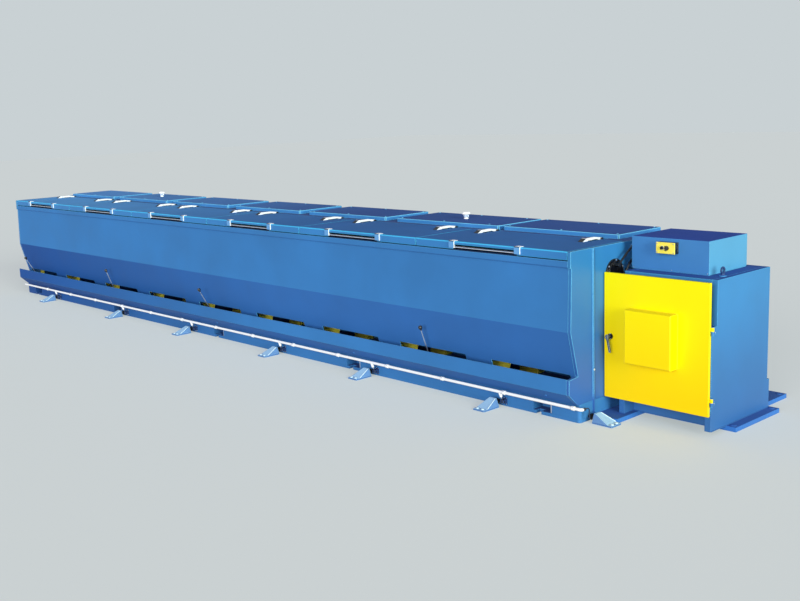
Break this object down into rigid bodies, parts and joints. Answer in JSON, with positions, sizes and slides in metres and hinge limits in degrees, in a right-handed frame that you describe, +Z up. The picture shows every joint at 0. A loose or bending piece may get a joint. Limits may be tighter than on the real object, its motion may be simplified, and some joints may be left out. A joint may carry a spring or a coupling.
{
  "type": "wire drawing machine",
  "caption": "Straight-line wire drawing machine: a long lidded body with slots, levers and a trip bar, and a door-fronted capstan cabinet at one end.",
  "frame": {"origin": "middle of the whole machine's box, on the floor", "axes": "+X along the machine towards the capstan cabinet, +Y away from the operator, +Z up"},
  "size_m": [11.855, 2, 1.538],
  "materials": {
    "blue": "sprayed machine enamel",
    "dark_blue": "sprayed machine enamel",
    "yellow": "sprayed enamel",
    "white": "gloss enamel",
    "grey_paint": "light blue-grey enamel",
    "black_paint": "satin black",
    "chrome": "polished plate",
    "steel": "turned and ground",
    "cast": "ground face, oiled",
    "black_plastic": "moulded",
    "yellow_plastic": "moulded",
    "hose": "smooth"
  },
  "bodies": {
    "machine": {"base_frame": "blue", "base_side_rails": "blue", "base_side_blocks": "blue", "lifting_pins": "steel", "right_end_plate": "blue", "left_end_plate": "blue", "front_panel": "blue", "top_rail": "blue", "front_trough": "blue", "gear_housing": "blue", "lid_hinge_blocks": "black_paint", "rear_covers": "blue", "back_panels": "blue", "breathers": "white", "cross_beams": "blue", "drawing_capstans": "cast", "die_boxes": "dark_blue", "inner_guards": "yellow", "anchor_feet": "grey_paint", "foot_screws": "black_paint", "trip_bar_pivots": "black_paint", "lever_brackets": "black_paint", "cabinet_base_plate": "blue", "cabinet_right_side": "blue", "cabinet_left_side": "blue", "cabinet_top": "blue", "cabinet_back": "blue", "cabinet_sill": "blue", "finish_capstan": "cast", "top_box": "blue", "lifting_eye": "blue", "door_hinge_pins": "blue", "station_base": "black_plastic", "station_cover": "yellow_plastic", "end_flange": "black_paint", "upper_hose": "hose", "lower_hose": "hose"},
    "lid_1": {"lid_1": "blue", "lid_1_fittings": "chrome"},
    "lid_2": {"lid_2": "blue", "lid_2_fittings": "chrome"},
    "lid_3": {"lid_3": "blue", "lid_3_fittings": "chrome"},
    "lid_4": {"lid_4": "blue", "lid_4_fittings": "chrome"},
    "lid_5": {"lid_5": "blue", "lid_5_fittings": "chrome"},
    "lid_6": {"lid_6": "blue", "lid_6_fittings": "chrome"},
    "lever_1": {"lever_1": "steel"},
    "lever_2": {"lever_2": "steel"},
    "lever_3": {"lever_3": "steel"},
    "lever_4": {"lever_4": "steel"},
    "trip_bar": {"trip_bar": "white"},
    "cabinet_door": {"cabinet_door": "yellow", "door_rose": "black_plastic"},
    "door_handle": {"door_handle": "black_paint"},
    "push_button": {"push_button": "black_plastic"},
    "selector_knob": {"selector_knob": "black_plastic"}
  },
  "joints": [
    {"name": "lid_1_hinge", "type": "hinge", "parent": "machine", "child": "lid_1", "pos_m": [3.975, -0.04, 1.425], "axis": [-1, 0, 0], "range_deg": [0, 80]},
    {"name": "lid_2_hinge", "type": "hinge", "parent": "machine", "child": "lid_2", "pos_m": [2.252, -0.04, 1.425], "axis": [-1, 0, 0], "range_deg": [0, 80]},
    {"name": "lid_3_hinge", "type": "hinge", "parent": "machine", "child": "lid_3", "pos_m": [0.529, -0.04, 1.425], "axis": [-1, 0, 0], "range_deg": [0, 80]},
    {"name": "lid_4_hinge", "type": "hinge", "parent": "machine", "child": "lid_4", "pos_m": [-1.194, -0.04, 1.425], "axis": [-1, 0, 0], "range_deg": [0, 80]},
    {"name": "lid_5_hinge", "type": "hinge", "parent": "machine", "child": "lid_5", "pos_m": [-2.917, -0.04, 1.425], "axis": [-1, 0, 0], "range_deg": [0, 80]},
    {"name": "lid_6_hinge", "type": "hinge", "parent": "machine", "child": "lid_6", "pos_m": [-4.64, -0.04, 1.425], "axis": [-1, 0, 0], "range_deg": [0, 80]},
    {"name": "lever_1_pivot", "type": "hinge", "parent": "machine", "child": "lever_1", "pos_m": [3.1775, -0.775, 0.33], "axis": [1, 0, 0], "range_deg": [-8, 21]},
    {"name": "lever_2_pivot", "type": "hinge", "parent": "machine", "child": "lever_2", "pos_m": [-0.4729, -0.775, 0.33], "axis": [1, 0, 0], "range_deg": [-16, 13]},
    {"name": "lever_3_pivot", "type": "hinge", "parent": "machine", "child": "lever_3", "pos_m": [-2.7921, -0.775, 0.33], "axis": [1, 0, 0], "range_deg": [-8, 21]},
    {"name": "lever_4_pivot", "type": "hinge", "parent": "machine", "child": "lever_4", "pos_m": [-5.1997, -0.775, 0.33], "axis": [1, 0, 0], "range_deg": [-17, 12]},
    {"name": "trip_bar_hinge", "type": "hinge", "parent": "machine", "child": "trip_bar", "pos_m": [-0.3275, -0.768, 0.048], "axis": [-1, 0, 0], "range_deg": [0, 10]},
    {"name": "cabinet_door_hinge", "type": "hinge", "parent": "machine", "child": "cabinet_door", "pos_m": [5.8545, -0.385, 0.69], "axis": [0, 0, 1], "range_deg": [0, 110]},
    {"name": "door_handle_turn", "type": "hinge", "parent": "cabinet_door", "child": "door_handle", "pos_m": [4.9375, -0.43, 0.685], "axis": [0, -1, 0], "range_deg": [0, 75]},
    {"name": "push_button_press", "type": "slide", "parent": "machine", "child": "push_button", "axis": [0, 1, 0], "range_m": [0, 0.004], "stiffness_N_per_m": 400, "springref_m": -0.004},
    {"name": "selector_turn", "type": "hinge", "parent": "machine", "child": "selector_knob", "pos_m": [5.3345, -0.21, 1.42], "axis": [0, 1, 0], "range_deg": [0, 60]}
  ]
}
